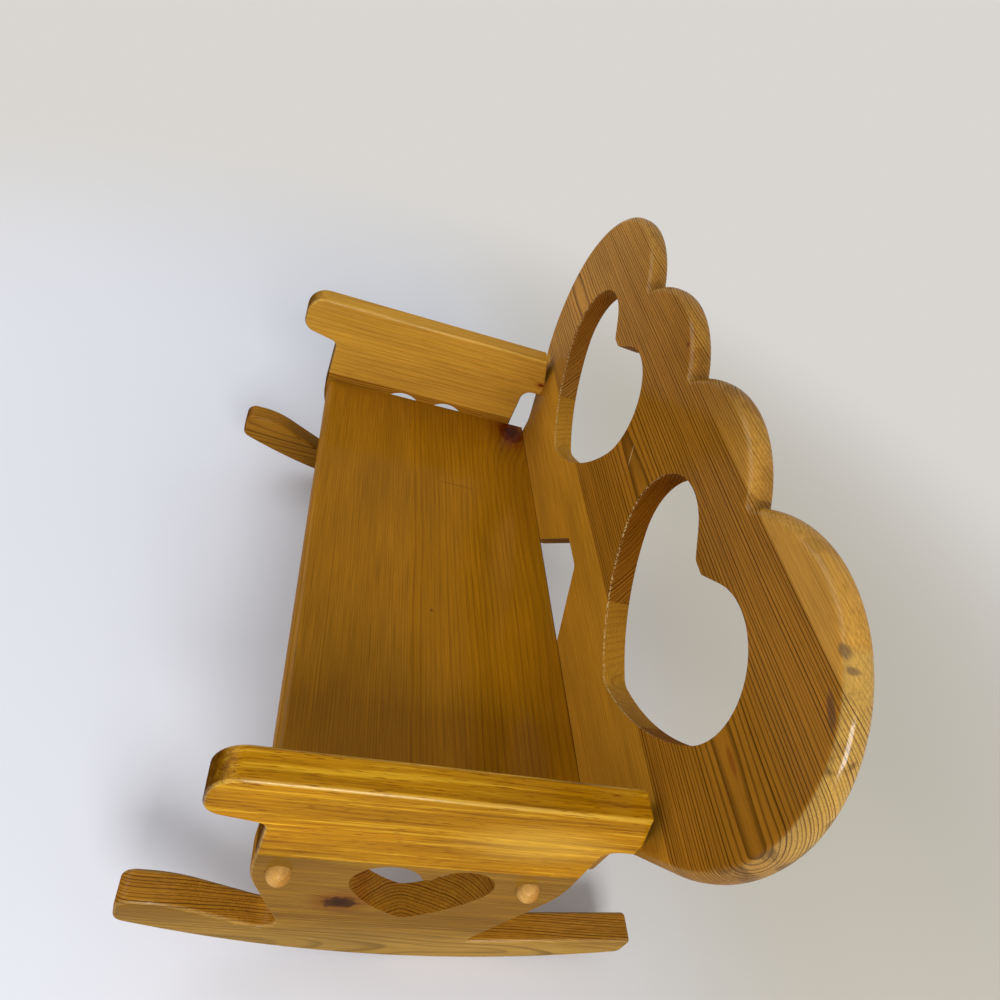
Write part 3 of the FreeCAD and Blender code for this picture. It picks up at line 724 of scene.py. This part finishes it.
taper = add(tree, "ShaderNodeMath", {0: size["Pitch"], 1: TAPER_TURNS}, operation="MULTIPLY")
taper_foot = add(tree, "ShaderNodeMath", {0: start, 1: taper}, operation="SUBTRACT")
for inner, height, foot in ((reach, wound, start), (THREAD_TIP, taper, taper_foot)):
    turns = add(tree, "ShaderNodeMath", {0: height, 1: size["Pitch"]}, operation="DIVIDE")
    coil = {"Resolution": 24, "Rotations": turns, "Height": height}
    coil = {**coil, "Start Radius": inner, "End Radius": reach}
    coil = add(tree, "GeometryNodeCurveSpiral", coil)
    level = add(tree, "ShaderNodeCombineXYZ", {"Z": foot})
    coil = add(tree, "GeometryNodeTransform", {"Geometry": coil, "Translation": level})
    coil = add(tree, "GeometryNodeSetCurveNormal", {"Curve": coil}, mode="Z_UP")
    wire = {"Curve": coil, "Profile Curve": ridge, "Fill Caps": True}
    pieces.append(add(tree, "GeometryNodeCurveToMesh", wire))
screw = add(tree, "GeometryNodeJoinGeometry", {"Geometry": pieces})
screws = fasten("screws", tree, sizes, screw, steel)
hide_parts(*(name for name in frame["nodes"] if "screw" in name))

# Plugs: turned birch buttons, domed outside, each pressed by its tenon into the hole over a screw.
# Birch is paler and closer than pine, with hardly a year line, and the varnish gives it a soft shine.
TENON_TAPER = 0.96
sizes = {"Head Radius": 0.008, "Dome": 0.0085, "Tenon Radius": 0.00635, "Tenon": 0.006}
tree, size = part_tree("button_plug", sizes)
ball = add(tree, "GeometryNodeMeshUVSphere", {"Segments": 40, "Rings": 24, "Radius": 1.0})
spot = add(tree, "ShaderNodeSeparateXYZ", {0: add(tree, "GeometryNodeInputPosition")}).node.outputs
dome = add(tree, "ShaderNodeMath", {0: spot["Z"], 1: 0.0}, operation="MAXIMUM")
dome = add(tree, "ShaderNodeCombineXYZ", {"X": spot["X"], "Y": spot["Y"], "Z": dome})
swell = {"X": size["Head Radius"], "Y": size["Head Radius"], "Z": size["Dome"]}
swell = add(tree, "ShaderNodeCombineXYZ", swell)
dome = add(tree, "ShaderNodeVectorMath", {0: dome, 1: swell}, operation="MULTIPLY")
button = add(tree, "GeometryNodeSetPosition", {"Geometry": ball, "Position": dome})
narrow = add(tree, "ShaderNodeMath", {0: size["Tenon Radius"], 1: TENON_TAPER}, operation="MULTIPLY")
tenon = {"Radius Top": size["Tenon Radius"], "Radius Bottom": narrow, "Depth": size["Tenon"]}
tenon = add(tree, "GeometryNodeMeshCone", {"Vertices": 40, **tenon})
level = add(tree, "ShaderNodeMath", {0: size["Tenon"], 1: -1.0}, operation="MULTIPLY")
level = add(tree, "ShaderNodeCombineXYZ", {"Z": level})
tenon = add(tree, "GeometryNodeTransform", {"Geometry": tenon, "Translation": level})
plug = add(tree, "GeometryNodeJoinGeometry", {"Geometry": [button, tenon]})
birch = varnished_wood(
    "varnished_birch_turned",
    (along + rearward).normalized(),
    up,
    heart=(400, 400),
    ring_mm=3.0,
    early="#be914d",
    late="#a2702f",
    sawn="#d8c4a4",
    lines=0.3,
    flecks=0.25,
    gloss=0.32,
)
plugs = fasten("plugs", tree, sizes, plug, birch)
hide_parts(*(name for name in frame["nodes"] if "plug" in name))

# Stage: a plain floor of pale paper that runs into an even pale surround, a broad soft lamp beyond the
# near end, a broader one in front and a dim sky.
FLOOR_WIDTH = 16.0
SURROUND = "#d9d6d2"
SKY = "#e6e8ea"
PAPER_IN_FRONT = "#e9ebf3"
# Warmer paper tone with painted shade, behind the bench
SHADED_WARM_PAPER = "#d3cdbf"
PAPER_FADES = (0.55, 1.3)  # from the middle, where the floor turns into the surround
PAPER_TURNS = (0.0, 0.4)  # behind the middle, where its colour changes
bpy.ops.mesh.primitive_plane_add(size=FLOOR_WIDTH)
floor = bpy.context.object
floor.name = "floor"


def seen(tree):
    """1 for what the eye sees, also mirrored or through glass, and 0 for what only lights the bench."""
    rays = add(tree, "ShaderNodeLightPath").node.outputs
    plain = {0: rays["Is Camera Ray"], 1: rays["Is Glossy Ray"]}
    plain = add(tree, "ShaderNodeMath", plain, operation="MAXIMUM")
    plain = {0: plain, 1: rays["Is Transmission Ray"]}
    return add(tree, "ShaderNodeMath", plain, operation="MAXIMUM")


# Paper: matt and almost white, cool in front of the bench, and warmer and darker behind it:
# a warmer paper tone with painted shade behind the bench
paper = bpy.data.materials.new("pale_paper")
paper.use_nodes = True
tree = paper.node_tree
tree.nodes.clear()
spot = add(tree, "ShaderNodeTexCoord").node.outputs["Object"]
reach = add(tree, "ShaderNodeVectorMath", {0: spot}, operation="LENGTH").node.outputs["Value"]
far = {"Value": reach, "From Min": PAPER_FADES[0], "From Max": PAPER_FADES[1]}
far = add(tree, "ShaderNodeMapRange", far, interpolation_type="SMOOTHSTEP")
far = add(tree, "ShaderNodeMath", {0: far, 1: seen(tree)}, operation="MULTIPLY")
depth = add(tree, "ShaderNodeSeparateXYZ", {0: spot}).node.outputs["Y"]
behind = {"Value": depth, "From Min": PAPER_TURNS[0], "From Max": PAPER_TURNS[1]}
behind = add(tree, "ShaderNodeMapRange", behind, interpolation_type="SMOOTHSTEP")
tone = {0: behind, 6: linear(PAPER_IN_FRONT), 7: linear(SHADED_WARM_PAPER)}
tone = add(tree, "ShaderNodeMix", tone, data_type="RGBA")
matt = add(tree, "ShaderNodeBsdfPrincipled", {"Base Color": tone, "Roughness": 0.9})
even = add(tree, "ShaderNodeEmission", {"Color": linear(SURROUND), "Strength": 1.0})
surface = add(tree, "ShaderNodeMixShader", {0: far, 1: matt, 2: even})
add(tree, "ShaderNodeOutputMaterial", {"Surface": surface})
floor.data.materials.append(paper)

scene = bpy.context.scene
scene.view_settings.view_transform = "Standard"
world = bpy.data.worlds.new("pale_sky")
world.use_nodes = True
tree = world.node_tree
tree.nodes.clear()
sky = add(tree, "ShaderNodeBackground", {"Color": linear(SKY), "Strength": 0.5})
even = add(tree, "ShaderNodeBackground", {"Color": linear(SURROUND), "Strength": 1.0})
surface = add(tree, "ShaderNodeMixShader", {0: seen(tree), 1: sky, 2: even})
add(tree, "ShaderNodeOutputWorld", {"Surface": surface})
scene.world = world

BENCH_MIDDLE = Vector((0, 0, 0.15))
for name, watts, width, spot in (
    ("key_lamp", 28, 0.8, (1.75, 0.15, 1.15)),
    ("fill_lamp", 20, 1.6, (-0.9, -1.7, 1.3)),
):
    lamp = bpy.data.lights.new(name, "AREA")
    lamp.energy = watts
    lamp.size = width
    holder = bpy.data.objects.new(name, lamp)
    holder.location = spot
    holder.rotation_mode = "QUATERNION"
    holder.rotation_quaternion = (BENCH_MIDDLE - holder.location).to_track_quat("-Z", "Y")
    scene.collection.objects.link(holder)

EYE = Vector((0.4673, -0.1184, 0.6239))
LOOK = Vector((-0.7384, 0.2536, -0.6248))
ROLL = math.radians(22.1)
lens = bpy.data.cameras.new("camera")
lens.sensor_width = 36
lens.lens = 28.05
camera = bpy.data.objects.new("camera", lens)
camera.location = EYE
camera.rotation_mode = "QUATERNION"
camera.rotation_quaternion = LOOK.to_track_quat("-Z", "Y") @ Quaternion((0, 0, 1), ROLL)
scene.collection.objects.link(camera)
scene.camera = camera
